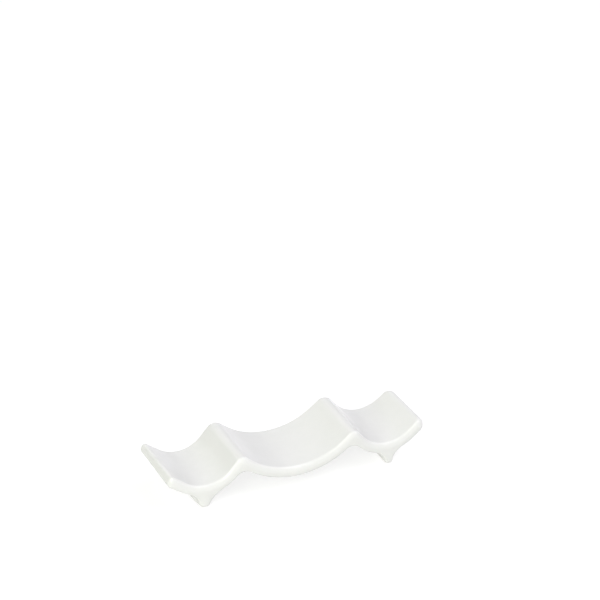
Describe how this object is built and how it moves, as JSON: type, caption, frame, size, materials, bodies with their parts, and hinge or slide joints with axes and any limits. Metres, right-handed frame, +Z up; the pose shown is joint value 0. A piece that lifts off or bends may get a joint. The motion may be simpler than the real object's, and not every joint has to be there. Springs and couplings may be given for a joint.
{
  "type": "chopstick rest",
  "caption": "White glazed porcelain chopstick and spoon rest: a bent strip with a large middle trough, small outer troughs and upturned lips, standing on flared cross ribs.",
  "frame": {"origin": "on the table, under the middle of the rest", "axes": "+X along the strip, from the left chopstick trough to the right one; +Y to the back, along the troughs; +Z up"},
  "size_m": [0.11, 0.0312, 0.0188],
  "materials": {
    "glazed_porcelain": "clear gloss glaze over white porcelain",
    "bare_porcelain": "bare fired porcelain, wiped clean of glaze"
  },
  "bodies": {
    "root": {"left_cradle": "glazed_porcelain", "spoon_cradle": "glazed_porcelain", "right_cradle": "glazed_porcelain", "left_foot": "glazed_porcelain", "right_foot": "glazed_porcelain", "left_foot_rim": "bare_porcelain", "right_foot_rim": "bare_porcelain"}
  },
  "joints": []
}
